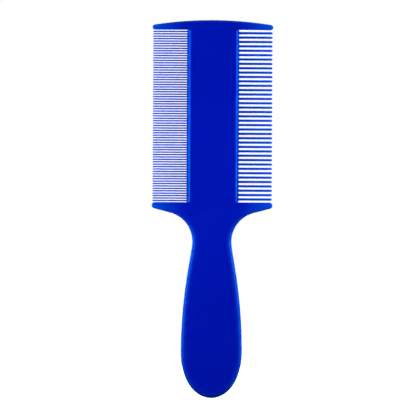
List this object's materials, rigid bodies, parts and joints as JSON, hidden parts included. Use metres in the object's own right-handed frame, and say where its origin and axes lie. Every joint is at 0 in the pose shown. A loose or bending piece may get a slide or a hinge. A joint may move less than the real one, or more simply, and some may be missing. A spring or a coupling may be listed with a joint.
{
  "type": "double-sided pet comb",
  "caption": "Flat one-piece plastic pet comb: a wide blade with fine teeth on one side and coarse teeth on the other, an arched end bar and a long flat handle.",
  "frame": {"origin": "middle of the comb's bounding box, halfway through its thickness", "axes": "+Z along the comb from the end of the handle to the end bar; -Y is the front face; +X towards the coarse teeth"},
  "size_m": [0.064, 0.005, 0.2],
  "materials": {
    "blue_plastic": "deep saturated blue, satin moulded surface with softly shining rounded edges"
  },
  "bodies": {
    "root": {"handle": "blue_plastic", "shoulder": "blue_plastic", "spine": "blue_plastic", "fine_tooth_row": "blue_plastic", "coarse_tooth_row": "blue_plastic", "end_bar": "blue_plastic"}
  },
  "joints": []
}
